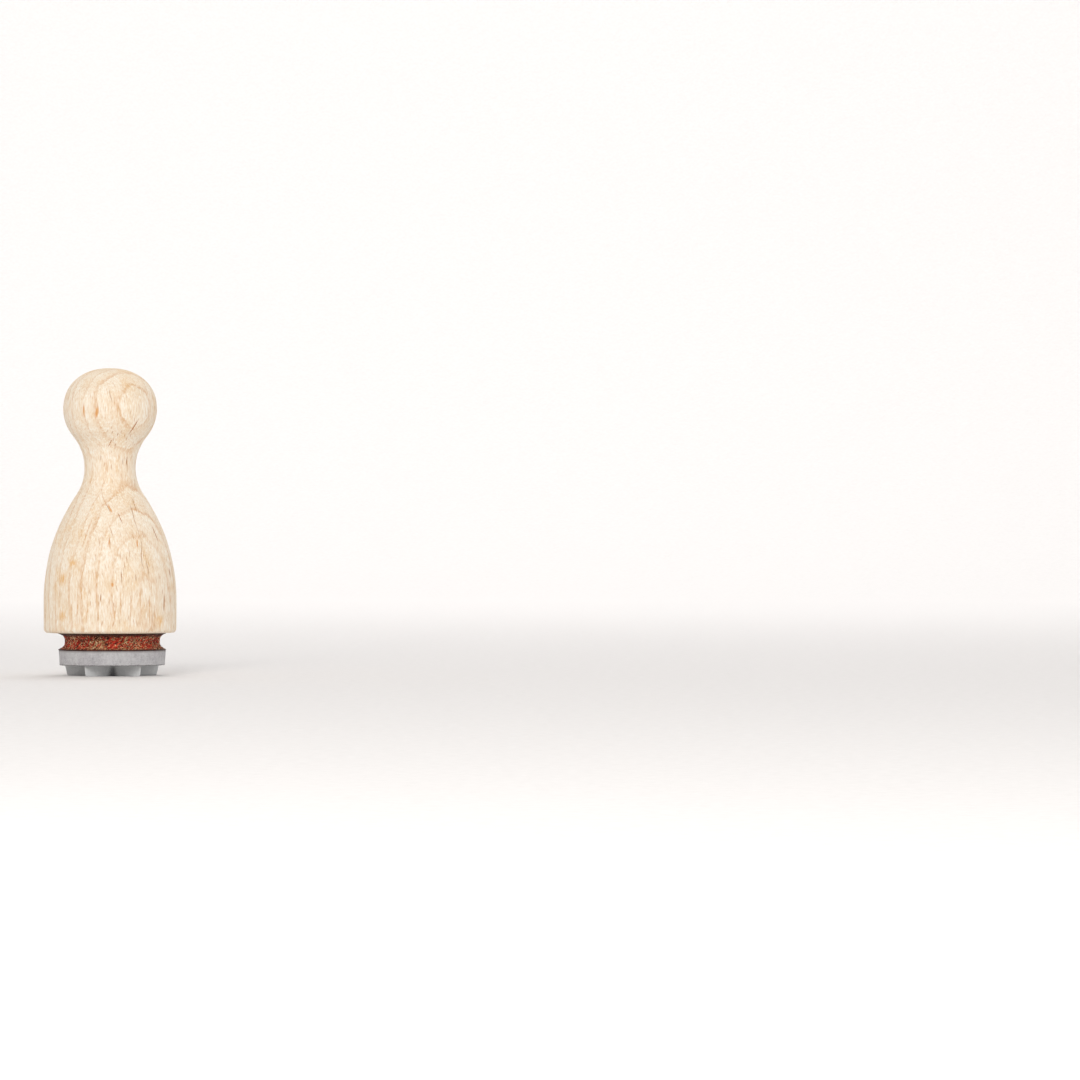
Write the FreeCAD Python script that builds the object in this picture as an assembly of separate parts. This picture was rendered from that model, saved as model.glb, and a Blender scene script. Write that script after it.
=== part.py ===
"""A mini rubber stamp on a turned pawn handle.

The stamp stands on its printing face with the handle upright. The origin is on the handle's axis, in the
plane of the printing face, and +Z points up to the knob. From the bottom up the stack is: a grey rubber die
with a raised outline star, an adhesive film, a waisted foam cushion, a second adhesive film and the handle.
Every length is in millimetres.
"""

import FreeCAD, Part
import math
import os

Vector = FreeCAD.Vector
UP = Vector(0, 0, 1)

# Heights of the stack, from the printing face upwards
RELIEF_DEPTH = 1.3
DIE_PLATE_THICKNESS = 1.8
FILM_THICKNESS = 0.15
FOAM_THICKNESS = 1.85

# Rubber die: a round plate, cut with a slightly leaning edge, that carries the star
DIE_TOP_RADIUS = 6.55
DIE_BOTTOM_RADIUS = 6.4
DIE_EDGE_ROUNDING = 0.12
STACK_OFFSET_X = 0.25  # the cushion and die are glued a little off the handle's axis

# Star: one raised outline, sharp at its tips, with flanks that lean outwards towards the plate. It is very
# nearly regular: each tip has a direction, anticlockwise from +X, and a distance from the plate's middle.
STAR_TIP_DIRECTIONS_DEG = [-119.0, -49.0, 24.0, 96.0, 168.0]
STAR_TIP_RADII = [5.8, 5.8, 5.85, 5.85, 5.85]
STAR_NOTCH_RADIUS = 2.45
STAR_LINE_WIDTH = 0.55
STAR_FLANK_SPREAD = 0.3
STAR_TIP_ROUNDING = 0.08

# Adhesive films and the foam cushion between them
FILM_RADIUS = 6.55
FOAM_END_RADIUS = 6.45
FOAM_WAIST_RADIUS = 5.82

# Turned handle, with heights measured from its flat base
BASE_RADIUS = 8.12
BASE_EDGE_ROUNDING = 0.45
BASE_STRAIGHT_HEIGHT = 4.0
BELLY_ARC_RADIUS = 22.9
NECK_RADIUS = 3.14
NECK_HEIGHT = 20.2
KNOB_RADIUS = 5.74
KNOB_WIDEST_HEIGHT = 27.5
KNOB_LOWER_ARC_RADIUS = 5.5
KNOB_UPPER_ARC_RADIUS = 4.92

# Levels worked out from the stack
DIE_PLATE_BOTTOM = RELIEF_DEPTH
DIE_TOP = DIE_PLATE_BOTTOM + DIE_PLATE_THICKNESS
FOAM_BOTTOM = DIE_TOP + FILM_THICKNESS
FOAM_TOP = FOAM_BOTTOM + FOAM_THICKNESS
HANDLE_BOTTOM = FOAM_TOP + FILM_THICKNESS
HANDLE_TOP = HANDLE_BOTTOM + KNOB_WIDEST_HEIGHT + KNOB_UPPER_ARC_RADIUS


def profile_point(radius, height):
    """A point of a half section, in the XZ plane."""
    return Vector(radius, 0, height)


def line(start, end):
    return Part.LineSegment(start, end).toShape()


def arc(start, middle, end):
    return Part.Arc(start, middle, end).toShape()


def arc_about(centre, radius, start_deg, end_deg):
    """An arc of a half section about a centre, between two angles measured from +X towards +Z."""
    points = []
    for angle in (start_deg, (start_deg + end_deg) / 2, end_deg):
        turn = math.radians(angle)
        points.append(centre + Vector(radius * math.cos(turn), 0, radius * math.sin(turn)))
    return arc(*points)


def turned(edges):
    """The solid swept by a closed half section about the Z axis."""
    face = Part.Face(Part.Wire(edges))
    return face.revolve(Vector(0, 0, 0), UP, 360)


def joining_radius(neck_radius, centre_to_axis, ball_radius, drop):
    """The radius of a neck arc that is level with its waist and tangent to a bulging arc `drop` away."""
    reach = neck_radius - centre_to_axis
    return (reach**2 + drop**2 - ball_radius**2) / (2 * (ball_radius - reach))


def angle_between(start, end):
    """The direction of a line in the half section, in degrees from +X towards +Z."""
    return math.degrees(math.atan2(end.z - start.z, end.x - start.x))


def turned_handle():
    """A beech pawn turned in one piece: straight foot, long belly, slim neck and ball knob."""
    foot_centre = profile_point(BASE_RADIUS - BASE_EDGE_ROUNDING, HANDLE_BOTTOM + BASE_EDGE_ROUNDING)
    belly_centre = profile_point(BASE_RADIUS - BELLY_ARC_RADIUS, HANDLE_BOTTOM + BASE_STRAIGHT_HEIGHT)
    knob_height = HANDLE_BOTTOM + KNOB_WIDEST_HEIGHT
    knob_lower_centre = profile_point(KNOB_RADIUS - KNOB_LOWER_ARC_RADIUS, knob_height)
    knob_upper_centre = profile_point(KNOB_RADIUS - KNOB_UPPER_ARC_RADIUS, knob_height)
    waist_height = HANDLE_BOTTOM + NECK_HEIGHT

    lower_radius = joining_radius(
        NECK_RADIUS, belly_centre.x, BELLY_ARC_RADIUS, waist_height - belly_centre.z
    )
    upper_radius = joining_radius(
        NECK_RADIUS, knob_lower_centre.x, KNOB_LOWER_ARC_RADIUS, knob_height - waist_height
    )
    neck_lower_centre = profile_point(NECK_RADIUS + lower_radius, waist_height)
    neck_upper_centre = profile_point(NECK_RADIUS + upper_radius, waist_height)
    belly_turn = angle_between(belly_centre, neck_lower_centre)
    knob_turn = angle_between(knob_lower_centre, neck_upper_centre)

    base_centre = profile_point(0, HANDLE_BOTTOM)
    base_edge = profile_point(foot_centre.x, HANDLE_BOTTOM)
    foot_top = profile_point(BASE_RADIUS, foot_centre.z)
    belly_start = profile_point(BASE_RADIUS, belly_centre.z)
    crown_edge = profile_point(knob_upper_centre.x, HANDLE_TOP)
    crown_centre = profile_point(0, HANDLE_TOP)
    return turned(
        [
            line(base_centre, base_edge),
            arc_about(foot_centre, BASE_EDGE_ROUNDING, -90, 0),
            line(foot_top, belly_start),
            arc_about(belly_centre, BELLY_ARC_RADIUS, 0, belly_turn),
            arc_about(neck_lower_centre, lower_radius, 180 + belly_turn, 180),
            arc_about(neck_upper_centre, upper_radius, 180, 180 + knob_turn),
            arc_about(knob_lower_centre, KNOB_LOWER_ARC_RADIUS, knob_turn, 0),
            arc_about(knob_upper_centre, KNOB_UPPER_ARC_RADIUS, 0, 90),
            line(crown_edge, crown_centre),
            line(crown_centre, base_centre),
        ]
    )


def adhesive_film(bottom):
    """A thin round film of double-sided adhesive, as wide as the cushion's ends."""
    return Part.makeCylinder(FILM_RADIUS, FILM_THICKNESS, Vector(STACK_OFFSET_X, 0, bottom), UP)


def foam_cushion():
    """A foam disc whose side draws in to a waist."""
    bottom_edge = profile_point(FOAM_END_RADIUS, FOAM_BOTTOM)
    waist = profile_point(FOAM_WAIST_RADIUS, (FOAM_BOTTOM + FOAM_TOP) / 2)
    top_edge = profile_point(FOAM_END_RADIUS, FOAM_TOP)
    bottom_centre = profile_point(0, FOAM_BOTTOM)
    top_centre = profile_point(0, FOAM_TOP)
    cushion = turned(
        [
            line(bottom_centre, bottom_edge),
            arc(bottom_edge, waist, top_edge),
            line(top_edge, top_centre),
            line(top_centre, bottom_centre),
        ]
    )
    return cushion.translated(Vector(STACK_OFFSET_X, 0, 0))


def plate_point(radius, direction_deg):
    """A point of the printing face, from its distance and direction from the plate's middle."""
    turn = math.radians(direction_deg)
    return Vector(STACK_OFFSET_X + radius * math.cos(turn), radius * math.sin(turn), 0)


def star_corners():
    """The star's corners at the printing face, tips and notches in turn, anticlockwise from a tip."""
    directions = STAR_TIP_DIRECTIONS_DEG
    corners = []
    for index, (direction, radius) in enumerate(zip(directions, STAR_TIP_RADII)):
        next_direction = directions[(index + 1) % len(directions)]
        gap = (next_direction - direction) % 360
        corners.append(plate_point(radius, direction))
        corners.append(plate_point(STAR_NOTCH_RADIUS, direction + gap / 2))
    return corners


def moved_out(corners, distance):
    """An anticlockwise outline moved outwards by a distance, with its corners kept sharp."""
    moved = []
    for index, corner in enumerate(corners):
        arriving = (corner - corners[index - 1]).normalize()
        leaving = (corners[(index + 1) % len(corners)] - corner).normalize()
        normal_in = Vector(arriving.y, -arriving.x, 0)
        normal_out = Vector(leaving.y, -leaving.x, 0)
        bisector = (normal_in + normal_out).normalize()
        moved.append(corner + bisector * (distance / bisector.dot(normal_in)))
    return moved


def sharp_wire(corners, height):
    lifted = [corner + UP * height for corner in corners]
    return Part.makePolygon(lifted + lifted[:1])


def tip_rounded_wire(corners, rounding, height):
    """A star outline at a height, with an arc at each tip and its notches left sharp."""
    edges = []
    for index in range(0, len(corners), 2):
        tip = corners[index] + UP * height
        notch_before = corners[index - 1] + UP * height
        notch_after = corners[index + 1] + UP * height
        to_before = (notch_before - tip).normalize()
        to_after = (notch_after - tip).normalize()
        inward = (to_before + to_after).normalize()
        half_angle = math.acos(inward.dot(to_before))
        setback = rounding / math.tan(half_angle)
        centre = tip + inward * (rounding / math.sin(half_angle))
        arc_start = tip + to_before * setback
        arc_end = tip + to_after * setback
        edges.append(line(notch_before, arc_start))
        edges.append(arc(arc_start, centre - inward * rounding, arc_end))
        edges.append(line(arc_end, notch_after))
    return Part.Wire(edges)


def star_relief():
    """The raised outline star: a closed ridge with leaning flanks and an open middle."""
    corners = star_corners()
    outer = Part.makeLoft(
        [
            tip_rounded_wire(corners, STAR_TIP_ROUNDING, 0),
            tip_rounded_wire(
                moved_out(corners, STAR_FLANK_SPREAD),
                STAR_TIP_ROUNDING + STAR_FLANK_SPREAD,
                RELIEF_DEPTH,
            ),
        ],
        True,
        True,
    )
    inner = Part.makeLoft(
        [
            sharp_wire(moved_out(corners, -STAR_LINE_WIDTH), 0),
            sharp_wire(moved_out(corners, -STAR_LINE_WIDTH - STAR_FLANK_SPREAD), RELIEF_DEPTH),
        ],
        True,
        True,
    )
    return outer.cut(inner)


def die_plate():
    """The round plate behind the star, with a slightly leaning edge and a softened lower rim."""
    rim_height = DIE_PLATE_BOTTOM + DIE_EDGE_ROUNDING
    centre_bottom = profile_point(0, DIE_PLATE_BOTTOM)
    rim_start = profile_point(DIE_BOTTOM_RADIUS - DIE_EDGE_ROUNDING, DIE_PLATE_BOTTOM)
    rim_end = profile_point(DIE_BOTTOM_RADIUS, rim_height)
    rim_centre = profile_point(rim_start.x, rim_height)
    top_edge = profile_point(DIE_TOP_RADIUS, DIE_TOP)
    centre_top = profile_point(0, DIE_TOP)
    plate = turned(
        [
            line(centre_bottom, rim_start),
            arc_about(rim_centre, DIE_EDGE_ROUNDING, -90, 0),
            line(rim_end, top_edge),
            line(top_edge, centre_top),
            line(centre_top, centre_bottom),
        ]
    )
    return plate.translated(Vector(STACK_OFFSET_X, 0, 0))


def rubber_die():
    """One moulded piece of rubber: the plate and the star that stands on it."""
    return die_plate().fuse(star_relief()).removeSplitter()


def main():
    os.makedirs("parts", exist_ok=True)
    pieces = {
        "turned_handle": turned_handle(),
        "handle_adhesive_film": adhesive_film(FOAM_TOP),
        "foam_cushion": foam_cushion(),
        "die_adhesive_film": adhesive_film(DIE_TOP),
        "rubber_die": rubber_die(),
    }
    for name, shape in pieces.items():
        box = shape.BoundBox
        print(
            f"{name}: {len(shape.Solids)} solid, valid {shape.isValid()}, volume {shape.Volume:.2f} mm3, "
            f"z {box.ZMin:.2f} to {box.ZMax:.2f}, width {box.XLength:.2f}"
        )
        shape.exportStep(f"parts/{name}.step")


main()
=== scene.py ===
"""The look of a mini rubber stamp: turned beech handle, adhesive films, foam cushion and rubber die.

The stamp stands on its printing face with the handle's axis on Z, and its pieces are laid out from the CAD
nodes' boxes. Outlines, the star, material coordinates and names that end in _MM are in millimetres. Meshes,
stage, lights and camera are in metres.
"""

import math
import random

import bpy
import numpy as np
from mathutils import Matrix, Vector, noise
from mathutils.geometry import delaunay_2d_cdt


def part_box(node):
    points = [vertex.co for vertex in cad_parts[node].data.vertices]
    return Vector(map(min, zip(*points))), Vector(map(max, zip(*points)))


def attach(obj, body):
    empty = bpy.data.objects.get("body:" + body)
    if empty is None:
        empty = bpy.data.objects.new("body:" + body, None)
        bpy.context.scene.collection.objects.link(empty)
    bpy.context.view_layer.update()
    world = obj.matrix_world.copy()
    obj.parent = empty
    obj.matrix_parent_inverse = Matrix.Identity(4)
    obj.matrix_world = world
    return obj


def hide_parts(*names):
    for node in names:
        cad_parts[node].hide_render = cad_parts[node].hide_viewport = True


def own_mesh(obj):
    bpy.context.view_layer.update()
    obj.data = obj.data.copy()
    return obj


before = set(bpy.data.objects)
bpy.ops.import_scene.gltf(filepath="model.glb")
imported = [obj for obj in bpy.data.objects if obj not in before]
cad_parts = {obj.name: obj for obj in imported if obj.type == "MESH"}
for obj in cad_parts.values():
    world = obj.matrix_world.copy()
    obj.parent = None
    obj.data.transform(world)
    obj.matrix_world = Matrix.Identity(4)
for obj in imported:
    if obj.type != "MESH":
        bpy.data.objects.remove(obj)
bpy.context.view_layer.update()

MM = 0.001
AXIS_GAP_MM = 0.05  # a turned outline stops this far from the axis, where one vertex closes it

# ---------------------------------------------------------------- sizes

handle_low, handle_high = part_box("turned_handle")
foam_low, foam_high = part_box("foam_cushion")
die_low, die_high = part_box("rubber_die")
upper_film_low, upper_film_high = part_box("handle_adhesive_film")
lower_film_low, lower_film_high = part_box("die_adhesive_film")

HANDLE_BASE_MM = handle_low[2] / MM
HANDLE_TOP_MM = handle_high[2] / MM
STACK_X_MM = (die_low[0] + die_high[0]) / 2 / MM


def uneven(x, y, z, octaves):
    """Smooth noise of several sizes, about -1 to 1."""
    return noise.fractal(Vector((x, y, z)), 1.0, 2.0, octaves, noise_basis="PERLIN_ORIGINAL")


# ---------------------------------------------------------------- mesh helpers


def mesh_object(name, points, faces):
    """A smooth-shaded object at the origin, with its place in its mesh."""
    mesh = bpy.data.meshes.new(name)
    mesh.from_pydata([tuple(p) for p in points], [], faces)
    mesh.validate()
    mesh.update()
    mesh.shade_smooth()
    piece = bpy.data.objects.new(name, mesh)
    bpy.context.scene.collection.objects.link(piece)
    return piece


def grid_faces(rows, columns):
    """Quads between rings of points, closed around, wound so that they face out when rows run upwards."""
    faces = []
    for row in range(rows - 1):
        for column in range(columns):
            after = (column + 1) % columns
            low, high = row * columns, (row + 1) * columns
            faces.append((low + column, low + after, high + after, high + column))
    return faces


def turned_surface(profile, columns, shift):
    """Points of a surface of revolution.

    profile is a list of (radius, height); shift(angle, radius, height, index) gives each point's final
    radius and height in metres. The first and last rows are closed by a vertex in the middle of each.
    """
    points = []
    for index, (radius, height) in enumerate(profile):
        for column in range(columns):
            angle = 2 * math.pi * column / columns
            r, z = shift(angle, radius, height, index)
            points.append((r * math.cos(angle), r * math.sin(angle), z))
    faces = grid_faces(len(profile), columns)
    low, high = len(points), len(points) + 1
    last = (len(profile) - 1) * columns
    base = np.mean(points[:columns], axis=0)
    crown = np.mean(points[last:], axis=0)
    points += [tuple(base), tuple(crown)]
    for column in range(columns):
        after = (column + 1) % columns
        faces.append((low, after, column))
        faces.append((high, last + column, last + after))
    return points, faces


def spaced(points, step):
    """A poly-line resampled at an even step."""
    corners = [np.array(p, float) for p in points]
    lengths = [0.0]
    for a, b in zip(corners, corners[1:]):
        lengths.append(lengths[-1] + float(np.linalg.norm(b - a)))
    count = max(2, int(round(lengths[-1] / step)) + 1)
    wanted = np.linspace(0, lengths[-1], count)
    radii = np.interp(wanted, lengths, [p[0] for p in corners])
    heights = np.interp(wanted, lengths, [p[1] for p in corners])
    return list(zip(radii, heights))


def arc_points(centre_x, centre_z, radius, start_deg, end_deg, count=40):
    """Points of a half section along an arc."""
    angles = np.radians(np.linspace(start_deg, end_deg, count))
    return [(centre_x + radius * math.cos(a), centre_z + radius * math.sin(a)) for a in angles]


# ---------------------------------------------------------------- node helpers


class Nodes:
    """A short way to write a material's nodes. Its position is in millimetres."""

    def __init__(self, name):
        self.material = bpy.data.materials.new(name)
        self.material.use_nodes = True
        self.tree = self.material.node_tree
        self.tree.nodes.clear()
        self.output = self.add("ShaderNodeOutputMaterial")
        self.shader = self.add("ShaderNodeBsdfPrincipled")
        self.link(self.shader.outputs["BSDF"], self.output.inputs["Surface"])
        place = self.add("ShaderNodeTexCoord")
        in_mm = self.add("ShaderNodeVectorMath", operation="SCALE")
        self.link(place.outputs["Object"], in_mm.inputs[0])
        in_mm.inputs["Scale"].default_value = 1 / MM
        self.position = in_mm.outputs["Vector"]

    def add(self, kind, **settings):
        node = self.tree.nodes.new(kind)
        for key, value in settings.items():
            setattr(node, key, value)
        return node

    def link(self, source, target):
        self.tree.links.new(source, target)

    def put(self, socket, value):
        if isinstance(value, bpy.types.NodeSocket):
            self.link(value, socket)
        else:
            socket.default_value = value

    def math(self, operation, a, b=0.0):
        node = self.add("ShaderNodeMath", operation=operation)
        self.put(node.inputs[0], a)
        self.put(node.inputs[1], b)
        return node.outputs[0]

    def total(self, first, *rest):
        for value in rest:
            first = self.math("ADD", first, value)
        return first

    def times(self, first, *rest):
        for value in rest:
            first = self.math("MULTIPLY", first, value)
        return first

    def centred(self, value, reach):
        """A value of 0 to 1 as a shift to either side, reach from end to end."""
        return self.times(self.math("SUBTRACT", value, 0.5), reach)

    def moved(self, vector, by):
        node = self.add("ShaderNodeVectorMath", operation="ADD")
        self.put(node.inputs[0], vector)
        self.put(node.inputs[1], by)
        return node.outputs["Vector"]

    def length(self, vector):
        node = self.add("ShaderNodeVectorMath", operation="LENGTH")
        self.put(node.inputs[0], vector)
        return node.outputs["Value"]

    def noise(self, where, scale, detail, roughness=0.5):
        node = self.add("ShaderNodeTexNoise")
        self.put(node.inputs["Vector"], where)
        node.inputs["Scale"].default_value = scale
        node.inputs["Detail"].default_value = detail
        node.inputs["Roughness"].default_value = roughness
        return node.outputs["Fac"]

    def noise_along(self, value, scale):
        node = self.add("ShaderNodeTexNoise", noise_dimensions="1D")
        self.put(node.inputs["W"], value)
        node.inputs["Scale"].default_value = scale
        return node.outputs["Fac"]

    def draw_along(self, value):
        """One random draw for each value."""
        node = self.add("ShaderNodeTexWhiteNoise", noise_dimensions="1D")
        self.put(node.inputs["W"], value)
        return node.outputs["Value"]

    def cells(self, where, scale, dimensions="3D"):
        """Cells of a Voronoi pattern: distance from the middle, and three random draws for each cell."""
        node = self.add("ShaderNodeTexVoronoi", voronoi_dimensions=dimensions)
        self.put(node.inputs["Vector"], where)
        node.inputs["Scale"].default_value = scale
        return node.outputs["Distance"], self.split(node.outputs["Color"])

    def ramp(self, value, stops, interpolation="LINEAR"):
        node = self.add("ShaderNodeValToRGB")
        ramp = node.color_ramp
        ramp.interpolation = interpolation
        while len(ramp.elements) < len(stops):
            ramp.elements.new(1.0)
        for element, (position, colour) in zip(ramp.elements, stops):
            element.position = position
            if isinstance(colour, (int, float)):
                colour = (colour, colour, colour)
            element.color = (*colour, 1.0)
        self.put(node.inputs["Fac"], value)
        return node.outputs["Color"]

    def map(self, value, from_low, from_high, to_low=0.0, to_high=1.0, smooth=False):
        node = self.add("ShaderNodeMapRange")
        if smooth:
            node.interpolation_type = "SMOOTHSTEP"
        self.put(node.inputs["Value"], value)
        node.inputs["From Min"].default_value = from_low
        node.inputs["From Max"].default_value = from_high
        node.inputs["To Min"].default_value = to_low
        node.inputs["To Max"].default_value = to_high
        return node.outputs["Result"]

    def mix(self, factor, a, b):
        node = self.add("ShaderNodeMix", data_type="RGBA")
        self.put(node.inputs[0], factor)
        for socket, value in ((node.inputs[6], a), (node.inputs[7], b)):
            if isinstance(value, tuple) and len(value) == 3:
                value = (*value, 1.0)
            self.put(socket, value)
        return node.outputs[2]

    def layer(self, colour, mask, share, tint):
        """A tint laid over a colour where the mask is 1, as strongly as share says."""
        return self.mix(self.times(mask, share), colour, tint)

    def split(self, where):
        node = self.add("ShaderNodeSeparateXYZ")
        self.put(node.inputs[0], where)
        return node.outputs["X"], node.outputs["Y"], node.outputs["Z"]

    def join(self, x, y, z):
        node = self.add("ShaderNodeCombineXYZ")
        for socket, value in zip(node.inputs, (x, y, z)):
            self.put(socket, value)
        return node.outputs[0]

    def bump(self, height, distance, strength):
        node = self.add("ShaderNodeBump")
        node.inputs["Strength"].default_value = strength
        node.inputs["Distance"].default_value = distance
        self.put(node.inputs["Height"], height)
        return node.outputs["Normal"]

    def finish(self, colour, roughness, normal, **sockets):
        self.put(self.shader.inputs["Base Color"], colour)
        self.put(self.shader.inputs["Roughness"], roughness)
        self.link(normal, self.shader.inputs["Normal"])
        for key, value in sockets.items():
            self.shader.inputs[key.replace("_", " ")].default_value = value
        return self.material


def srgb(red, green, blue):
    """A colour given as 0 to 255 screen values, as linear light."""
    return tuple(
        c / 12.92 if c <= 0.04045 else ((c + 0.055) / 1.055) ** 2.4
        for c in (red / 255, green / 255, blue / 255)
    )


# ---------------------------------------------------------------- beech handle

RING_FACE_DEG = 37.0  # the growth rings face this far round from the front
RING_NORMAL = (math.sin(math.radians(RING_FACE_DEG)), -math.cos(math.radians(RING_FACE_DEG)), 0.0)
RING_SPACING_MM = 1.5
RING_OFFSET = 40.31  # in ring spacings: moves the rings sideways through the wood
RING_BOW = -0.014  # added to a place's depth in the rings for each square millimetre sideways
RING_LEAN = 0.014  # added to it for each millimetre of height

OUTLINE_STEP_MM = 0.155
HANDLE_COLUMNS = 300
KNOB_FULLNESS = 2.15  # 2 would make the knob's top an ellipse
GRAIN_MM = 0.009
SANDING_MM = 0.035
TOOL_RING_MM = 0.0035
HANDLE_INSET_MM = 0.012  # draws the roughened surface in, so that it stays within the CAD's outline
CROWN_INSET_MM = 0.01

# Marks in the wood: degrees from the front, height, width and length in millimetres, degrees of lean
NICKS = (
    (39, 30.4, 0.26, 2.7, 24),
    (45, 26.3, 0.18, 1.4, 4),
    (5, 28.4, 0.16, 1.2, 28),
    (17, 19.3, 0.14, 1.8, -18),
    (61, 17.4, 0.24, 2.6, -10),
    (28, 12.0, 0.14, 1.2, 0),
    (-3, 9.6, 0.16, 1.4, 4),
    (59, 8.9, 0.34, 2.8, 3),
    (72, 12.6, 0.3, 1.5, 0),
    (148, 31.2, 0.2, 1.8, -12),
    (-128, 13.5, 0.22, 2.2, 5),
    (-84, 20.6, 0.18, 1.6, 10),
)
FLECKS = (
    (-11.5, 32.1, 0.62, 2.0, 14),
    (-29, 32.4, 0.42, 1.9, 0),
    (5, 20.4, 0.28, 1.7, -26),
    (4, 16.2, 0.26, 1.3, 0),
    (33, 16.2, 0.32, 1.5, 6),
    (7, 11.2, 0.45, 0.7, 0),
    (170, 11.0, 0.4, 1.6, 4),
    (-150, 29.8, 0.4, 1.4, -8),
)
GRAIN_LINES = (
    (-33, 10.0, 0.34, 9.0, -2),
    (-24, 8.6, 0.26, 6.5, 1),
    (-15, 8.0, 0.3, 5.5, 2),
    (-7, 10.5, 0.22, 6.0, -1),
    (9, 7.8, 0.34, 5.5, 5),
    (14, 8.8, 0.26, 5.0, -2),
    (23, 8.4, 0.3, 6.0, 2),
    (41, 8.0, 0.26, 5.5, -1),
    (-20, 17.5, 0.3, 6.0, 12),
)
STAINS = (
    (-41, 11.9, 2.2, 2.6, 10),
    (-31, 13.8, 1.9, 1.4, 0),
    (-40, 7.4, 1.8, 2.0, 0),
    (53, 6.7, 2.2, 2.2, 0),
    (120, 16.0, 2.0, 1.8, 20),
)


def beech_material():
    n = Nodes("beech")
    x, y, z = n.split(n.position)

    # The tree's own directions: outwards across the rings and sideways along them. The trunk stands on Z
    outward = n.total(n.times(x, RING_NORMAL[0]), n.times(y, RING_NORMAL[1]))
    sideways = n.math("SUBTRACT", n.times(x, RING_NORMAL[1]), n.times(y, RING_NORMAL[0]))

    def stretched(share, scale, detail=2.0, roughness=0.5):
        """Noise drawn out along the trunk: share is its width over its length."""
        return n.noise(n.join(x, y, n.times(z, share)), scale, detail, roughness)

    wander = stretched(0.35, 0.16)
    ripple = stretched(0.22, 0.8)
    fray = stretched(0.1, 5.0, 3.0, 0.6)
    fade = stretched(0.5, 0.75)
    fibres = stretched(0.07, 8.0, 3.0, 0.6)
    fine_fibres = stretched(0.12, 22.0, 2.0, 0.6)
    fleck = stretched(0.18, 6.4, 3.0, 0.65)
    mottle = stretched(0.6, 0.5, 4.0, 0.6)
    blotch = stretched(0.45, 0.34, 2.0)
    smudge = stretched(0.5, 0.62, 3.0)

    # Growth rings are slightly bowed sheets, unevenly spaced, whose edges fray along the grain
    depth = n.total(outward, n.times(sideways, sideways, RING_BOW), n.times(z, RING_LEAN))
    depth = n.total(depth, n.centred(wander, 2.0), n.centred(ripple, 0.55), n.centred(fray, 0.42))
    depth = n.total(depth, n.centred(n.noise_along(depth, 0.45), 1.5))
    place = n.total(n.math("DIVIDE", depth, RING_SPACING_MM), RING_OFFSET)
    across_ring = n.math("FRACT", place)
    strength = n.map(n.draw_along(n.math("FLOOR", place)), 0, 1, 0.55, 1.0)
    late_wood = n.ramp(across_ring, [(0.0, 0.0), (0.3, 0.08), (0.9, 1.0), (1.0, 0.0)])
    line = n.ramp(across_ring, [(0.0, 0.0), (0.78, 0.0), (0.91, 0.9), (0.95, 1.0), (1.0, 0.0)])
    line = n.times(line, n.map(fleck, 0.34, 0.6, 0.25, 1.0), n.map(fade, 0.36, 0.6, 0.25, 1.0), strength)

    # Fine vessels that run up the trunk
    vessel_distance, vessel_draws = n.cells(n.join(x, y, n.times(z, 0.13)), 5.2)
    vessel = n.map(vessel_distance, 0.12, 0.32, 1.0, 0.0, smooth=True)
    vessel = n.times(vessel, n.map(vessel_draws[2], 0.3, 0.95))

    # Rays: upright lenses that show as dashes on the faces the rings face and fade out on the faces between
    leaning = n.total(sideways, n.centred(n.noise(n.position, 0.2, 1.0), 1.7))
    facing = n.add("ShaderNodeNewGeometry").outputs["Normal"]
    towards = n.add("ShaderNodeVectorMath", operation="DOT_PRODUCT")
    n.link(facing, towards.inputs[0])
    towards.inputs[1].default_value = RING_NORMAL
    flat_sawn = n.map(n.math("ABSOLUTE", towards.outputs["Value"]), 0.35, 0.8)

    def rays(across, upright, offset, narrow, wide, share):
        """Lenses in a share of the cells. across and upright are cells per millimetre."""
        side = n.total(n.times(leaning, across), offset)
        rise = n.total(n.times(z, upright), n.times(outward, 0.35))
        distance, draws = n.cells(n.join(side, rise, 0.0), 1.0, "2D")
        chosen = n.map(draws[0], 1 - share, 1 - share + 0.1)
        lens = n.map(distance, narrow, wide, 1.0, 0.0, smooth=True)
        return n.times(lens, chosen, flat_sawn)

    fine_rays = rays(across=4.8, upright=0.62, offset=0.0, narrow=0.05, wide=0.2, share=0.4)
    long_rays = rays(across=3.0, upright=0.34, offset=11.3, narrow=0.05, wide=0.17, share=0.32)
    streaks = rays(across=1.5, upright=0.13, offset=27.7, narrow=0.03, wide=0.1, share=0.15)

    # Nicks, orange flecks, upright grain lines and ochre stains, all with edges frayed by the grain
    turned = n.math("ARCTAN2", x, n.times(y, -1.0))
    from_axis = n.length(n.join(x, y, 0.0))
    frayed_height = n.total(z, n.centred(fibres, 0.5))

    def placed(marks, core):
        """The marks of one list as a mask, full within the core's share of a mark, fading to its edge."""
        every = 0.0
        for turn, height, wide, tall, lean in marks:
            angle = n.math("SUBTRACT", turned, math.radians(turn))
            across = n.total(n.times(angle, from_axis), n.centred(fray, 0.14))
            local = n.add("ShaderNodeMapping", vector_type="TEXTURE")
            n.link(n.join(across, 0.0, frayed_height), local.inputs["Vector"])
            local.inputs["Location"].default_value = (0.0, 0.0, height)
            local.inputs["Rotation"].default_value = (0.0, math.radians(lean), 0.0)
            local.inputs["Scale"].default_value = (wide / 2, 1.0, tall / 2)
            mark = n.map(n.length(local.outputs["Vector"]), 1.0, core, smooth=True)
            every = n.math("MAXIMUM", mark, every)
        return every

    nicks = placed(NICKS, core=0.4)
    grain_lines = n.times(placed(GRAIN_LINES, core=0.1), n.map(fleck, 0.34, 0.58, 0.25, 1.0))
    flecks = placed(FLECKS, core=0.3)
    stains = n.times(placed(STAINS, core=0.0), n.map(fleck, 0.35, 0.6, 0.3, 1.0))

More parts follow.
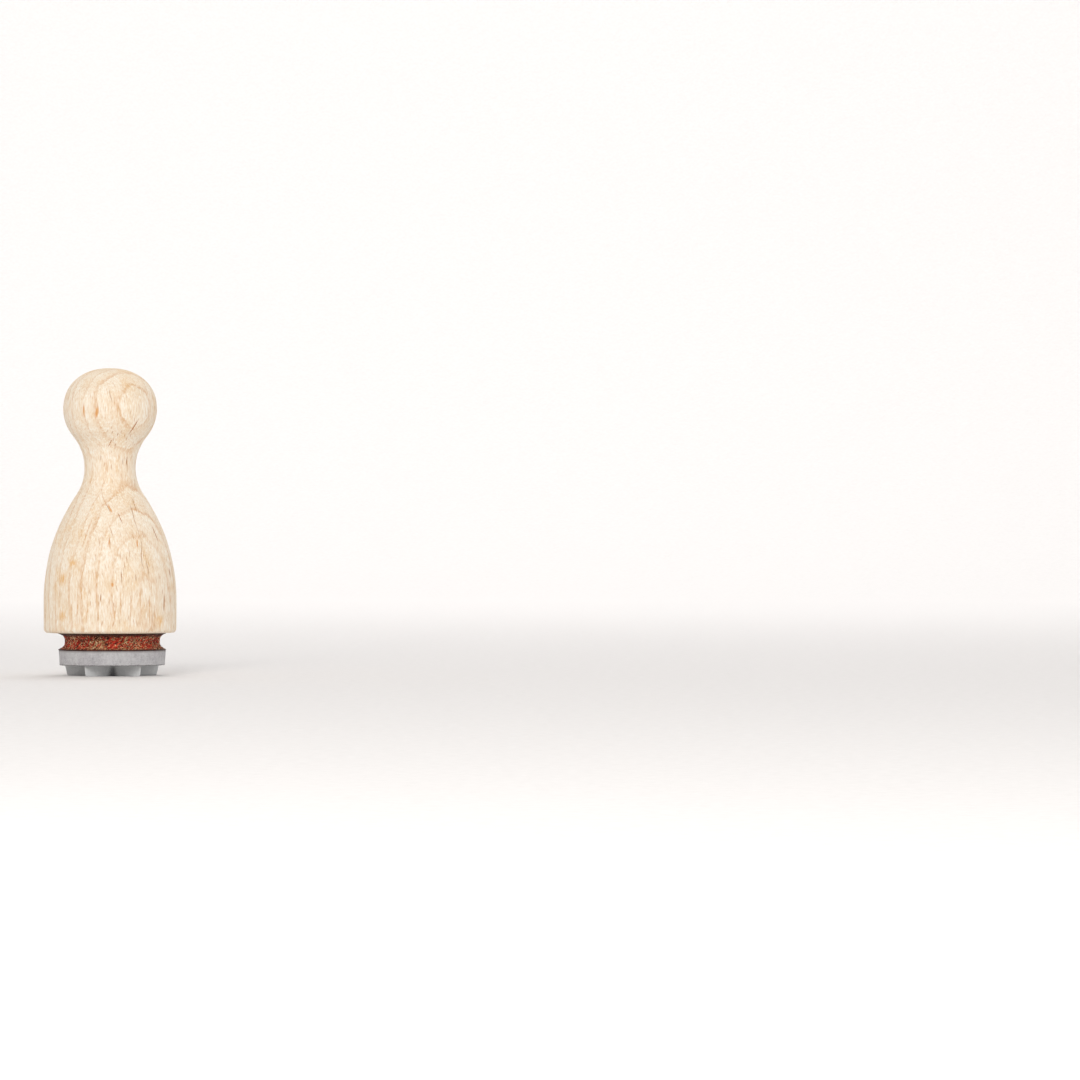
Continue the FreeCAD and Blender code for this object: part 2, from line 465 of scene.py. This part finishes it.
    colour = n.mix(n.map(mottle, 0.36, 0.66), srgb(249, 238, 220), srgb(241, 222, 196))
    colour = n.layer(colour, n.map(blotch, 0.5, 0.68), 0.5, srgb(236, 208, 168))
    colour = n.layer(colour, n.map(smudge, 0.58, 0.72), 0.7, srgb(232, 192, 134))
    colour = n.layer(colour, n.map(fibres, 0.48, 0.68), 0.58, srgb(228, 196, 154))
    colour = n.layer(colour, n.map(fleck, 0.5, 0.66), 0.46, srgb(222, 188, 146))
    colour = n.layer(colour, n.map(fleck, 0.5, 0.36), 0.66, srgb(255, 251, 242))
    pale = n.map(fine_fibres, 0.38, 0.6, 1.0, 0.0)
    colour = n.layer(colour, pale, 0.3, srgb(254, 247, 232))
    colour = n.layer(colour, n.times(late_wood, strength), 0.24, srgb(228, 190, 142))
    colour = n.layer(colour, line, 0.9, srgb(214, 162, 106))
    colour = n.layer(colour, vessel, 0.42, srgb(212, 174, 128))
    colour = n.layer(colour, fine_rays, 0.55, srgb(204, 152, 100))
    colour = n.layer(colour, long_rays, 0.78, srgb(200, 142, 86))
    colour = n.layer(colour, streaks, 0.85, srgb(182, 120, 68))
    colour = n.layer(colour, grain_lines, 0.85, srgb(216, 166, 110))
    colour = n.layer(colour, stains, 0.9, srgb(230, 180, 108))
    colour = n.layer(colour, flecks, 0.85, srgb(218, 152, 80))
    colour = n.layer(colour, nicks, 0.88, srgb(184, 118, 62))

    # End grain on the crown and foot is a touch darker and dotted with vessels
    up = n.math("ABSOLUTE", n.split(facing)[2])
    end_grain = n.map(up, 0.84, 1.0, smooth=True)
    dot_distance, _ = n.cells(n.position, 7.0)
    dot = n.map(dot_distance, 0.12, 0.3, 1.0, 0.0, smooth=True)
    colour = n.layer(colour, end_grain, 0.3, srgb(226, 194, 150))
    colour = n.layer(colour, n.times(end_grain, dot), 0.35, srgb(186, 140, 98))

    roughness = n.map(fibres, 0.3, 0.75, 0.58, 0.76)
    relief = n.total(n.times(fibres, 0.4), n.times(fine_fibres, 0.25), n.times(fleck, 0.6))
    for groove, deep in ((vessel, 0.4), (fine_rays, 0.5), (long_rays, 0.6), (streaks, 0.8), (nicks, 0.6)):
        relief = n.math("SUBTRACT", relief, n.times(groove, deep))
    normal = n.bump(relief, distance=0.00005, strength=0.7)
    return n.finish(colour, roughness, normal, Specular_IOR_Level=0.3)


def handle_profile():
    """The turning's half section in millimetres, from the foot's middle to the crown's middle."""
    base = HANDLE_BASE_MM
    foot_radius = handle_high[0] / MM
    edge = 0.45
    belly_start = base + 4.0
    belly_radius = 22.9
    knob_height = base + 27.5
    neck_height = base + 20.2
    neck_radius = 3.14
    knob_radius = 5.74
    lower_knob = 5.5

    def join_radius(centre_x, ball, drop):
        """Radius of the hollow arc that joins the neck's narrowest place to a round of radius ball."""
        reach = neck_radius - centre_x
        return (reach**2 + drop**2 - ball**2) / (2 * (ball - reach))

    belly_x = foot_radius - belly_radius
    knob_x = knob_radius - lower_knob
    low_join = join_radius(belly_x, belly_radius, neck_height - belly_start)
    high_join = join_radius(knob_x, lower_knob, knob_height - neck_height)
    low_x, high_x = neck_radius + low_join, neck_radius + high_join
    belly_turn = math.degrees(math.atan2(neck_height - belly_start, low_x - belly_x))
    knob_turn = math.degrees(math.atan2(neck_height - knob_height, high_x - knob_x))

    outline = [(AXIS_GAP_MM, base), (foot_radius - edge, base)]
    outline += arc_points(foot_radius - edge, base + edge, edge, -90, 0, 12)
    outline += arc_points(belly_x, belly_start, belly_radius, 0, belly_turn, 60)
    outline += arc_points(low_x, neck_height, low_join, 180 + belly_turn, 180)[1:]
    outline += arc_points(high_x, neck_height, high_join, 180, 180 + knob_turn)[1:]
    outline += arc_points(knob_x, knob_height, lower_knob, knob_turn, 0)[1:]
    outline += dome_points(knob_radius, knob_height, HANDLE_TOP_MM - knob_height)[1:]
    return spaced(outline, OUTLINE_STEP_MM)


def dome_points(radius, base_height, rise):
    """The knob's top, from its widest ring to the crown."""
    points = []
    for turn in np.linspace(0, math.pi / 2, 80):
        across = max(0.0, math.cos(turn)) ** (2 / KNOB_FULLNESS)
        up = math.sin(turn) ** (2 / KNOB_FULLNESS)
        points.append((max(AXIS_GAP_MM, radius * across), base_height + rise * up))
    return points


def make_handle():
    """The turning, with faint tool rings, raised grain and a slightly uneven hand-sanded outline."""

    def shift(angle, radius, height, index):
        if height < HANDLE_BASE_MM + 0.02:
            return radius * MM, height * MM
        x, y = radius * math.cos(angle), radius * math.sin(angle)
        grain = uneven(x * 3.1, y * 3.1, height * 0.32, 3) * GRAIN_MM
        wave = uneven(x * 0.16, y * 0.16, height * 0.22 + 9.0, 2) * SANDING_MM
        rings = math.sin(height * 11.0 + 2.0 * math.sin(height * 0.7)) * TOOL_RING_MM
        side = min(1.0, radius / 2.0)
        r = radius + (grain + wave + rings) * side - HANDLE_INSET_MM
        z = height - (CROWN_INSET_MM - grain) * (1 - side)
        return r * MM, z * MM

    points, faces = turned_surface(handle_profile(), HANDLE_COLUMNS, shift)
    piece = mesh_object("handle_turning", points, faces)
    piece.data.materials.append(beech_material())
    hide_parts("turned_handle")
    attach(piece, "handle")


# ---------------------------------------------------------------- foam cushion

FOAM_DRAW_IN_MM = 0.66
FOAM_OVERHANG_MM = 0.02
FOAM_EDGE_MM = 0.12
FOAM_ROWS = 44
FOAM_COLUMNS = 760


def foam_material():
    n = Nodes("granular_foam")
    z = n.split(n.position)[2]
    wobble = n.noise(n.position, 4.0, 2.0)
    place = n.moved(n.position, n.join(wobble, n.times(wobble, 0.4), wobble))

    distance, (first, second, third) = n.cells(place, 5.2)
    small_distance, (small_first, small_second, small_third) = n.cells(place, 8.6)
    red_zone = n.noise(n.position, 0.42, 2.0)
    pale_zone = n.noise(n.moved(n.position, (31.0, 5.0, 9.0)), 0.5, 2.0)

    browns = [
        (0.0, srgb(96, 34, 20)),
        (0.25, srgb(138, 52, 30)),
        (0.5, srgb(168, 66, 38)),
        (0.75, srgb(120, 62, 34)),
    ]
    colour = n.ramp(first, browns, "CONSTANT")
    red = n.map(n.total(second, n.map(red_zone, 0.35, 0.65, -0.25, 0.25)), 0.5, 0.54)
    colour = n.mix(red, colour, n.mix(third, srgb(228, 72, 46), srgb(196, 52, 34)))
    pale = n.map(n.total(small_first, n.map(pale_zone, 0.35, 0.68, -0.16, 0.22)), 0.74, 0.78)
    colour = n.mix(pale, colour, n.mix(small_second, srgb(250, 228, 182), srgb(220, 164, 96)))
    # Painted shade: the gaps between the grains are darkened
    gap = n.map(distance, 0.5, 0.72)
    colour = n.layer(colour, gap, 0.6, srgb(54, 20, 12))
    colour = n.mix(n.map(small_third, 0.86, 0.9), colour, srgb(48, 18, 11))

    # The foam darkens towards both films, less towards the lower one
    top_mm, bottom_mm = foam_high[2] / MM, foam_low[2] / MM
    ragged = n.total(z, n.centred(n.noise(n.position, 2.4, 3.0), 0.6))
    darker_top = n.map(ragged, top_mm - 0.42, top_mm - 0.08, smooth=True)
    darker_low = n.map(ragged, bottom_mm, bottom_mm + 0.2, 1.0, 0.0, smooth=True)
    darker_near_films = n.math("MAXIMUM", darker_top, n.times(darker_low, 0.7))
    colour = n.layer(colour, darker_near_films, 0.85, srgb(46, 19, 12))

    height = n.total(n.times(distance, -0.7), n.times(small_distance, -0.3))
    normal = n.bump(height, distance=0.00008, strength=0.8)
    roughness = n.map(pale, 0, 1, 0.78, 0.45)
    return n.finish(colour, roughness, normal, Specular_IOR_Level=0.4)


def cell_gap(x, y, z):
    """How near a point is to the wall between two grains: 0 at a grain's middle, about 1 at a wall."""
    distances, _ = noise.voronoi(Vector((x, y, z)))
    return distances[0] / max(distances[1], 1e-6)


def make_foam():
    """A waisted ring of packed grains, domed one by one, with a torn, uneven outline."""
    bottom, top = foam_low[2] / MM, foam_high[2] / MM
    end_radius = (foam_high[0] - foam_low[0]) / 2 / MM
    waist = end_radius - FOAM_DRAW_IN_MM
    rim = end_radius + FOAM_OVERHANG_MM
    middle = (bottom + top) / 2
    half = (top - bottom) / 2
    flat = (AXIS_GAP_MM, end_radius * 0.6, end_radius - FOAM_EDGE_MM)
    profile = [(radius, bottom) for radius in flat]
    for step in range(FOAM_ROWS + 1):
        share = -1 + 2 * step / FOAM_ROWS
        draw = 1 - abs(share) ** (4.2 if share > 0 else 3.0)
        profile.append((rim - (rim - waist) * draw, middle + half * share))
    profile += [(radius, top) for radius in reversed(flat)]
    first = len(flat)
    last = first + FOAM_ROWS

    def shift(angle, radius, height, index):
        if index < first or index > last:
            return radius * MM, height * MM
        x, y = radius * math.cos(angle), radius * math.sin(angle)
        gap = cell_gap(x * 4.6, y * 4.6, height * 5.2)
        dome = 0.1 * (1 - gap**2) - 0.06
        lumps = uneven(x * 1.1, y * 1.1, height * 1.3, 3) * 0.07
        pits = max(0.0, uneven(x * 2.3 + 40, y * 2.3, height * 2.6, 2) - 0.25) * -0.5
        edge = min(index - first, last - index) / 3
        ease = min(1.0, 0.35 + edge)
        return (radius + (dome + lumps + pits) * ease) * MM, height * MM

    points, faces = turned_surface(profile, FOAM_COLUMNS, shift)
    points = [(x + STACK_X_MM * MM, y, z) for x, y, z in points]
    piece = mesh_object("foam_cushion_body", points, faces)
    piece.data.materials.append(foam_material())
    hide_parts("foam_cushion")
    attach(piece, "handle")
    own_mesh(piece)


# ---------------------------------------------------------------- adhesive films

FILM_COLUMNS = 620
FILM_BEAD_MM = 0.02


def film_material():
    n = Nodes("scorched_film")
    speck = n.noise(n.position, 6.0, 3.0)
    patch = n.noise(n.position, 1.1, 2.0)
    colour = n.ramp(speck, [(0.3, srgb(22, 9, 7)), (0.5, srgb(48, 20, 13)), (0.72, srgb(86, 42, 26))])
    colour = n.layer(colour, n.map(patch, 0.5, 0.7), 0.5, srgb(104, 58, 36))
    normal = n.bump(speck, distance=0.00003, strength=0.7)
    return n.finish(colour, n.map(speck, 0.3, 0.7, 0.42, 0.7), normal, Specular_IOR_Level=0.45)


def make_film(name, node, body, low, high, ragged, seed):
    """A thin film with a melted rim, ragged by about as many millimetres as ragged says."""
    radius = (high[0] - low[0]) / 2 / MM
    bottom, top = low[2] / MM, high[2] / MM
    thick = top - bottom
    lower_half = (
        (AXIS_GAP_MM, 0.0),
        (radius * 0.7, 0.0),
        (radius - 0.3, 0.0),
        (radius - 0.06, 0.0),
        (radius, thick * 0.25),
    )
    profile = [(r, bottom + rise) for r, rise in lower_half]
    profile.append((radius + FILM_BEAD_MM, bottom + thick * 0.5))
    profile += [(r, top - drop) for r, drop in reversed(lower_half)]

    def shift(angle, r, height, index):
        if 3 <= index <= 7:  # the rim's rows
            x, y = math.cos(angle) * radius, math.sin(angle) * radius
            r += ragged * uneven(x * 1.3 + seed, y * 1.3, height * 2, 3)
            r += ragged * 0.6 * uneven(x * 4.5 + seed, y * 4.5, height * 2, 2)
        return r * MM, height * MM

    points, faces = turned_surface(profile, FILM_COLUMNS, shift)
    points = [(x + STACK_X_MM * MM, y, z) for x, y, z in points]
    piece = mesh_object(name, points, faces)
    piece.data.materials.append(film_material())
    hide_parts(node)
    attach(piece, body)


# ---------------------------------------------------------------- rubber die

RELIEF_MM = 1.3
# The star's tips: degrees anticlockwise from +X, and distance from the plate's middle
STAR_TIPS = ((-119.0, 5.8), (-49.0, 5.8), (24.0, 5.85), (96.0, 5.85), (168.0, 5.85))
STAR_NOTCH_MM = 2.45
STAR_LINE_MM = 0.55
STAR_BULGE_MM = 0.06  # how far the arms' edges swell out between tip and notch
STAR_SPREAD_MM = 0.3  # how far each flank leans away from the line on its way up to the engraved floor
STAR_CHAMFER_MM = 0.025
STAR_POINTS_PER_EDGE = 64
STAR_ROUNDING = 10
FLANK_LEVELS = 15
FLANK_CURVE = 0.92  # 1 would make the flanks straight
RIM_LEAN_MM = 0.15
RIM_LOW_CHAMFER_MM = 0.09
RIM_TOP_CHAMFER_MM = 0.035
RIM_LEVELS = 24
RIM_COLUMNS = 640
RASTER_MM = 0.24  # from one engraving line to the next on the floor


def rubber_material():
    n = Nodes("grey_rubber")
    x, y, z = n.split(n.position)
    cloud = n.noise(n.position, 0.35, 3.0)
    grain = n.noise(n.position, 6.0, 4.0, 0.65)
    fine = n.noise(n.position, 20.0, 2.0, 0.6)
    cut = n.noise(n.join(x, y, n.times(z, 0.2)), 3.6, 3.0, 0.6)
    layers = n.noise(n.join(n.times(x, 0.25), n.times(y, 0.25), z), 5.0, 2.0)
    chalk = n.noise(n.position, 1.5, 4.0, 0.65)
    colour = n.mix(n.map(cloud, 0.35, 0.65), srgb(180, 178, 182), srgb(193, 193, 194))
    colour = n.layer(colour, n.map(chalk, 0.5, 0.7), 0.5, srgb(204, 204, 204))
    colour = n.layer(colour, n.map(chalk, 0.48, 0.32), 0.4, srgb(146, 142, 148))
    colour = n.layer(colour, n.map(cut, 0.44, 0.7), 0.2, srgb(146, 145, 150))
    colour = n.layer(colour, n.map(grain, 0.5, 0.72), 0.4, srgb(210, 210, 211))
    colour = n.layer(colour, n.map(grain, 0.46, 0.32), 0.35, srgb(134, 132, 137))
    colour = n.layer(colour, n.map(layers, 0.55, 0.75), 0.15, srgb(164, 156, 164))

    # Painted light makes the star's flanks and the engraved floor paler than the plate; painted shade
    # darkens the notches and the rim's low edge. Smoke from the cut browned the rim's top
    # Painted light: the recessed flanks and floor are coloured paler than the plate
    below = n.map(z, RELIEF_MM + 0.12, RELIEF_MM - 0.12, smooth=True)
    colour = n.layer(colour, below, 0.8, srgb(218, 220, 220))
    from_middle = n.length(n.join(n.math("SUBTRACT", x, STACK_X_MM), y, 0.0))
    # Painted shade: the flanks darken towards the notches
    notch = n.map(n.total(from_middle, n.times(grain, 0.5)), 3.5, 2.8, smooth=True)
    colour = n.layer(colour, n.times(notch, below), 0.85, srgb(74, 72, 74))
    edge_height = n.total(z, n.times(grain, 0.3))
    # Painted shadow: a dark line along the rim's low edge, just above the engraved floor
    edge = n.map(edge_height, RELIEF_MM + 0.32, RELIEF_MM + 0.14, smooth=True)
    rim = n.map(from_middle, 5.9, 6.2)
    colour = n.layer(colour, n.times(edge, rim), 0.6, srgb(86, 82, 84))
    top_mm = die_high[2] / MM
    smoke = n.map(edge_height, top_mm - 0.12, top_mm + 0.12)
    colour = n.layer(colour, smoke, 0.55, srgb(88, 70, 62))

    height = n.total(n.times(grain, 0.5), n.times(cut, 0.25), n.times(fine, 0.15), n.times(chalk, 0.8))
    normal = n.bump(height, distance=0.00008, strength=0.7)
    return n.finish(colour, n.map(grain, 0.3, 0.7, 0.7, 0.88), normal, Specular_IOR_Level=0.3)


def star_corners():
    """The star's corners in millimetres from the plate's middle, tips and notches in turn."""
    corners = []
    for index, (direction, radius) in enumerate(STAR_TIPS):
        gap = (STAR_TIPS[(index + 1) % len(STAR_TIPS)][0] - direction) % 360
        for angle, reach in ((direction, radius), (direction + gap / 2, STAR_NOTCH_MM)):
            turn = math.radians(angle)
            corners.append(np.array([reach * math.cos(turn), reach * math.sin(turn)]))
    return corners


def star_loop(distance):
    """The star's outline moved out by a distance, with softened corners.

    Tips are rounded about fixed centres, so that a wider loop has wider tips and never a long spike.
    """
    corners = star_corners()
    count = len(corners)
    moved = []
    for index, corner in enumerate(corners):
        arriving = corner - corners[index - 1]
        leaving = corners[(index + 1) % count] - corner
        arriving, leaving = arriving / np.linalg.norm(arriving), leaving / np.linalg.norm(leaving)
        normal_in = np.array([arriving[1], -arriving[0]])
        normal_out = np.array([leaving[1], -leaving[0]])
        bisector = normal_in + normal_out
        bisector = bisector / np.linalg.norm(bisector)
        reach = distance / float(bisector @ normal_in)
        if index % 2 == 0 and distance > 0:
            reach = min(reach, distance)
        moved.append(corner + bisector * reach)
    loop = []
    for index in range(count):
        start, end = moved[index], moved[(index + 1) % count]
        along = end - start
        swell = np.array([along[1], -along[0]]) / np.linalg.norm(along) * STAR_BULGE_MM
        for step in range(STAR_POINTS_PER_EDGE):
            share = step / STAR_POINTS_PER_EDGE
            near_notch = share if index % 2 == 0 else 1 - share
            bulge = math.sin(math.pi * near_notch**2.4)
            loop.append(start + along * share + swell * bulge)
    loop = np.array(loop)
    for _ in range(STAR_ROUNDING):
        loop = (np.roll(loop, 1, axis=0) + loop * 2 + np.roll(loop, -1, axis=0)) / 4
    return loop


def inside(point, loop):
    """Whether a point lies within a closed loop, by counting crossings."""
    x, y = point
    x0, y0 = loop[:, 0], loop[:, 1]
    x1, y1 = np.roll(x0, -1), np.roll(y0, -1)
    crosses = (y0 > y) != (y1 > y)
    span = np.where(crosses, y1 - y0, 1.0)
    at = x0 + (y - y0) / span * (x1 - x0)
    return bool(np.count_nonzero(crosses & (x < at)) % 2)


def filled_region(loops, step, draws):
    """Triangles, about a step across, over the flat region inside the first loop and outside the others."""
    row_gap = 0.87
    jitter = 0.22
    clearance = 0.45

    def wanted(place):
        return inside(place, loops[0]) and not any(inside(place, hole) for hole in loops[1:])

    points, edges = [], []
    for loop in loops:
        start = len(points)
        points += [Vector((float(p[0]), float(p[1]))) for p in loop]
        size = len(loop)
        edges += [(start + i, start + (i + 1) % size) for i in range(size)]
    reach = max(float(np.abs(loop).max()) for loop in loops)
    everything = np.vstack(loops)
    cells = int(reach / step) + 1
    for i in range(-cells, cells + 1):
        for j in range(-cells, cells + 1):
            spot = np.array([i + 0.5 * (j % 2), j * row_gap]) * step
            spot = spot + np.array([draws.uniform(-1, 1), draws.uniform(-1, 1)]) * step * jitter
            if not wanted(spot):
                continue
            if np.min(np.sum((everything - spot) ** 2, axis=1)) < (step * clearance) ** 2:
                continue
            points.append(Vector((float(spot[0]), float(spot[1]))))
    out_points, _, out_faces, origins, _, _ = delaunay_2d_cdt(points, edges, [], 1, 1e-7)
    kept = []
    for face in out_faces:
        middle = np.mean([out_points[i] for i in face], axis=0)
        if wanted(middle):
            kept.append(tuple(face))
    return np.array([tuple(p) for p in out_points]), kept, [list(o) for o in origins]


class Skin:
    """A closed skin in millimetres, built up from rings of points."""

    def __init__(self, seed):
        self.points = []
        self.faces = []
        self.draws = random.Random(seed)

    def add_ring(self, loop, heights):
        start = len(self.points)
        for p, height in zip(loop, heights):
            self.points.append([float(p[0]), float(p[1]), float(height)])
        return list(range(start, start + len(loop)))

    def wall(self, rings, inwards=False):
        """Quads from each ring to the next, facing away from the axis, or towards it."""
        for pair in zip(rings, rings[1:]):
            low, high = reversed(pair) if inwards else pair
            for i in range(len(low)):
                j = (i + 1) % len(low)
                self.faces.append((low[i], low[j], high[j], high[i]))

    def fill(self, rings, step, height_at, downward):
        """A level surface inside the first ring and outside the others. height_at(place) roughens it."""
        loops = [np.array([self.points[i][:2] for i in ring]) for ring in rings]
        fixed = [i for ring in rings for i in ring]
        flat, triangles, origins = filled_region(loops, step, self.draws)
        index_of = {}
        for i, origin in enumerate(origins):
            known = [o for o in origin if o < len(fixed)]
            if known:
                index_of[i] = fixed[known[0]]
            else:
                index_of[i] = len(self.points)
                self.points.append([flat[i][0], flat[i][1], height_at(flat[i])])
        for a, b, c in triangles:
            order = (c, b, a) if downward else (a, b, c)
            self.faces.append(tuple(index_of[i] for i in order))


def star_flank(skin, face_distance, base_distance, chamfer):
    """One side of the star's line, as rings from the printing face up to the engraved floor."""
    rings = []
    for level in range(FLANK_LEVELS):
        share = level / (FLANK_LEVELS - 1)
        distance = face_distance + (base_distance - face_distance) * share**FLANK_CURVE
        if level == 0:
            distance += chamfer
        loop = star_loop(distance)
        ease = min(1.0, 4 * share) * min(1.0, 4 * (1 - share))
        for i, p in enumerate(loop):
            score = uneven(p[0] * 5.5, p[1] * 5.5, share * 0.7, 3) * 0.03
            rough = uneven(p[0] * 2.0, p[1] * 2.0, share * 3.0 + 5, 3) * 0.03
            away = p / max(np.linalg.norm(p), 1e-6)
            loop[i] = p + away * (score + rough) * ease
        rings.append(skin.add_ring(loop, [share * RELIEF_MM] * len(loop)))
    return rings


def plate_rim(skin, radius, top):
    """The plate's cut edge, as rings from the engraved floor up to the film, with marks and a burr."""
    radius_low = radius - RIM_LEAN_MM
    rings = []
    for level in range(RIM_LEVELS + 1):
        share = level / RIM_LEVELS
        height = RELIEF_MM + (top - RELIEF_MM) * share
        base_radius = radius_low + (radius - radius_low) * share
        if level == 0:
            base_radius -= RIM_LOW_CHAMFER_MM
        if level == RIM_LEVELS:
            base_radius -= RIM_TOP_CHAMFER_MM
        loop, heights = [], []
        for column in range(RIM_COLUMNS):
            angle = 2 * math.pi * column / RIM_COLUMNS
            x, y = base_radius * math.cos(angle), base_radius * math.sin(angle)
            marks = uneven(x * 4.2, y * 4.2, height * 0.5, 3) * 0.022
            swell = uneven(x * 0.5, y * 0.5, height * 0.4, 2) * 0.05
            burr = max(0.0, uneven(x * 2.6, y * 2.6, 3.0, 2)) * 0.15 * max(0.0, 1 - share * 7)
            r = base_radius + marks + swell + burr
            loop.append((r * math.cos(angle), r * math.sin(angle)))
            ragged = uneven(x * 3.1, y * 3.1, 8.0, 3) * 0.045 * max(0.0, 1 - share * 5)
            heights.append(height + ragged)
        rings.append(skin.add_ring(loop, heights))
    return rings


def floor_height(place):
    """The engraved floor, with the faint raster of the engraving."""
    raster = math.sin(place[1] * 2 * math.pi / RASTER_MM) * 0.012
    rough = uneven(place[0] * 3.0, place[1] * 3.0, 2.0, 3) * 0.03
    return RELIEF_MM - 0.01 + raster + rough


def face_height(place):
    """The printing face, which is almost flat."""
    return 0.004 + abs(uneven(place[0] * 2.2, place[1] * 2.2, 6.0, 3)) * 0.008


def make_die():
    """The plate and its star as one closed skin, with cut marks on the rim and an engraved floor."""
    radius = (die_high[0] - die_low[0]) / 2 / MM
    top = die_high[2] / MM
    skin = Skin(seed=11)
    outer = star_flank(skin, 0.0, STAR_SPREAD_MM, -STAR_CHAMFER_MM)
    inner = star_flank(skin, -STAR_LINE_MM, -STAR_LINE_MM - STAR_SPREAD_MM, STAR_CHAMFER_MM)
    rim = plate_rim(skin, radius, top)
    skin.wall(outer)
    skin.wall(inner, inwards=True)
    skin.wall(rim)
    skin.fill([outer[0], inner[0]], step=0.12, height_at=face_height, downward=True)
    skin.fill([rim[0], outer[-1]], step=0.14, height_at=floor_height, downward=True)
    skin.fill([inner[-1]], step=0.14, height_at=floor_height, downward=True)
    skin.fill([rim[-1]], step=0.6, height_at=lambda place: top, downward=False)

    points = [((x + STACK_X_MM) * MM, y * MM, max(0.0, z) * MM) for x, y, z in skin.points]
    piece = mesh_object("rubber_die_body", points, skin.faces)
    piece.data.materials.append(rubber_material())
    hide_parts("rubber_die")
    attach(piece, "die")


# ---------------------------------------------------------------- stage, light and camera

TENT_FLAT = 0.75
TENT_SWEEP = 0.55
TENT_HEIGHT = 1.7
TENT_COLUMNS = 96
TENT_SWEEP_STEPS = 24
CAMERA_DISTANCE = 0.6
CAMERA_RIGHT = 0.0527
CAMERA_HEIGHT = 0.0166
WIDTH_SEEN = 0.1324


def stage_material():
    """Pale paper whose far, rising part glows softly, as the wall of a light tent does."""
    n = Nodes("pale_paper")
    soft = n.noise(n.position, 0.9, 4.0, 0.6)
    colour = n.mix(n.map(soft, 0.3, 0.7), srgb(238, 236, 235), srgb(244, 242, 241))
    glow = n.map(n.length(n.position), 250.0, 1100.0, smooth=True)
    n.put(n.shader.inputs["Emission Color"], n.mix(glow, (0.0, 0.0, 0.0), (1.0, 0.99, 0.98)))
    normal = n.bump(soft, distance=0.0002, strength=0.35)
    return n.finish(colour, 0.9, normal, Specular_IOR_Level=0.2, Emission_Strength=0.11)


def make_stage():
    """A round pale floor that sweeps up all around, far from the stamp, into the wall of a light tent."""
    line = [(radius, 0.0) for radius in (0.05, 0.15, 0.3, 0.5, TENT_FLAT)]
    for step in range(1, TENT_SWEEP_STEPS + 1):
        angle = math.pi / 2 * step / TENT_SWEEP_STEPS
        line.append((TENT_FLAT + TENT_SWEEP * math.sin(angle), TENT_SWEEP - TENT_SWEEP * math.cos(angle)))
    line.append((TENT_FLAT + TENT_SWEEP, TENT_HEIGHT))
    points = [(0.0, 0.0, 0.0)]
    for radius, height in line:
        for column in range(TENT_COLUMNS):
            angle = 2 * math.pi * column / TENT_COLUMNS
            points.append((radius * math.cos(angle), radius * math.sin(angle), height))
    faces = [(0, 1 + column, 1 + (column + 1) % TENT_COLUMNS) for column in range(TENT_COLUMNS)]
    for row in range(len(line) - 1):
        for column in range(TENT_COLUMNS):
            after = (column + 1) % TENT_COLUMNS
            low, high = 1 + row * TENT_COLUMNS, 1 + (row + 1) * TENT_COLUMNS
            faces.append((low + column, high + column, high + after, low + after))
    stage = mesh_object("light_tent_floor", points, faces)
    stage.data.materials.append(stage_material())


def area_light(name, place, target, size, power, colour=(1, 1, 1)):
    data = bpy.data.lights.new(name, "AREA")
    data.shape = "DISK"
    data.size = size
    data.energy = power
    data.color = colour
    lamp = bpy.data.objects.new(name, data)
    lamp.location = place
    aim = Vector(target) - Vector(place)
    lamp.rotation_euler = aim.to_track_quat("-Z", "Y").to_euler()
    bpy.context.scene.collection.objects.link(lamp)


def make_lights():
    middle = (0, 0, 0.018)
    area_light("key", (-0.06, -0.6, 0.34), middle, size=0.26, power=1.9, colour=(1.0, 0.985, 0.96))
    area_light("fill", (0.5, -0.45, 0.14), middle, size=0.4, power=0.45, colour=(0.96, 0.98, 1.0))
    area_light("back", (0.2, 0.4, 0.6), middle, size=0.5, power=0.35)
    area_light("backdrop", (0.0, 0.45, 0.9), (0.0, 1.2, 0.1), size=0.6, power=4.0)
    world = bpy.data.worlds.new("studio")
    world.use_nodes = True
    background = world.node_tree.nodes["Background"]
    background.inputs["Color"].default_value = (1.0, 1.0, 1.0, 1.0)
    background.inputs["Strength"].default_value = 0.35
    bpy.context.scene.world = world


def make_camera():
    """Level with the stamp and well to its right, so that the stamp stands near the frame's left edge."""
    data = bpy.data.cameras.new("camera")
    data.sensor_width = 36.0
    data.lens = data.sensor_width * CAMERA_DISTANCE / WIDTH_SEEN
    data.clip_start = 0.01
    data.clip_end = 10.0
    camera = bpy.data.objects.new("camera", data)
    camera.location = (CAMERA_RIGHT, -CAMERA_DISTANCE, CAMERA_HEIGHT)
    camera.rotation_euler = (math.pi / 2, 0, 0)
    bpy.context.scene.collection.objects.link(camera)
    bpy.context.scene.camera = camera


make_handle()
make_foam()
make_film(
    "upper_film", "handle_adhesive_film", "handle", upper_film_low, upper_film_high, ragged=0.05, seed=3.0
)
make_film(
    "lower_film", "die_adhesive_film", "die", lower_film_low, lower_film_high, ragged=0.035, seed=17.0
)
make_die()
make_stage()
make_lights()
make_camera()
bpy.context.scene.view_settings.view_transform = "Standard"
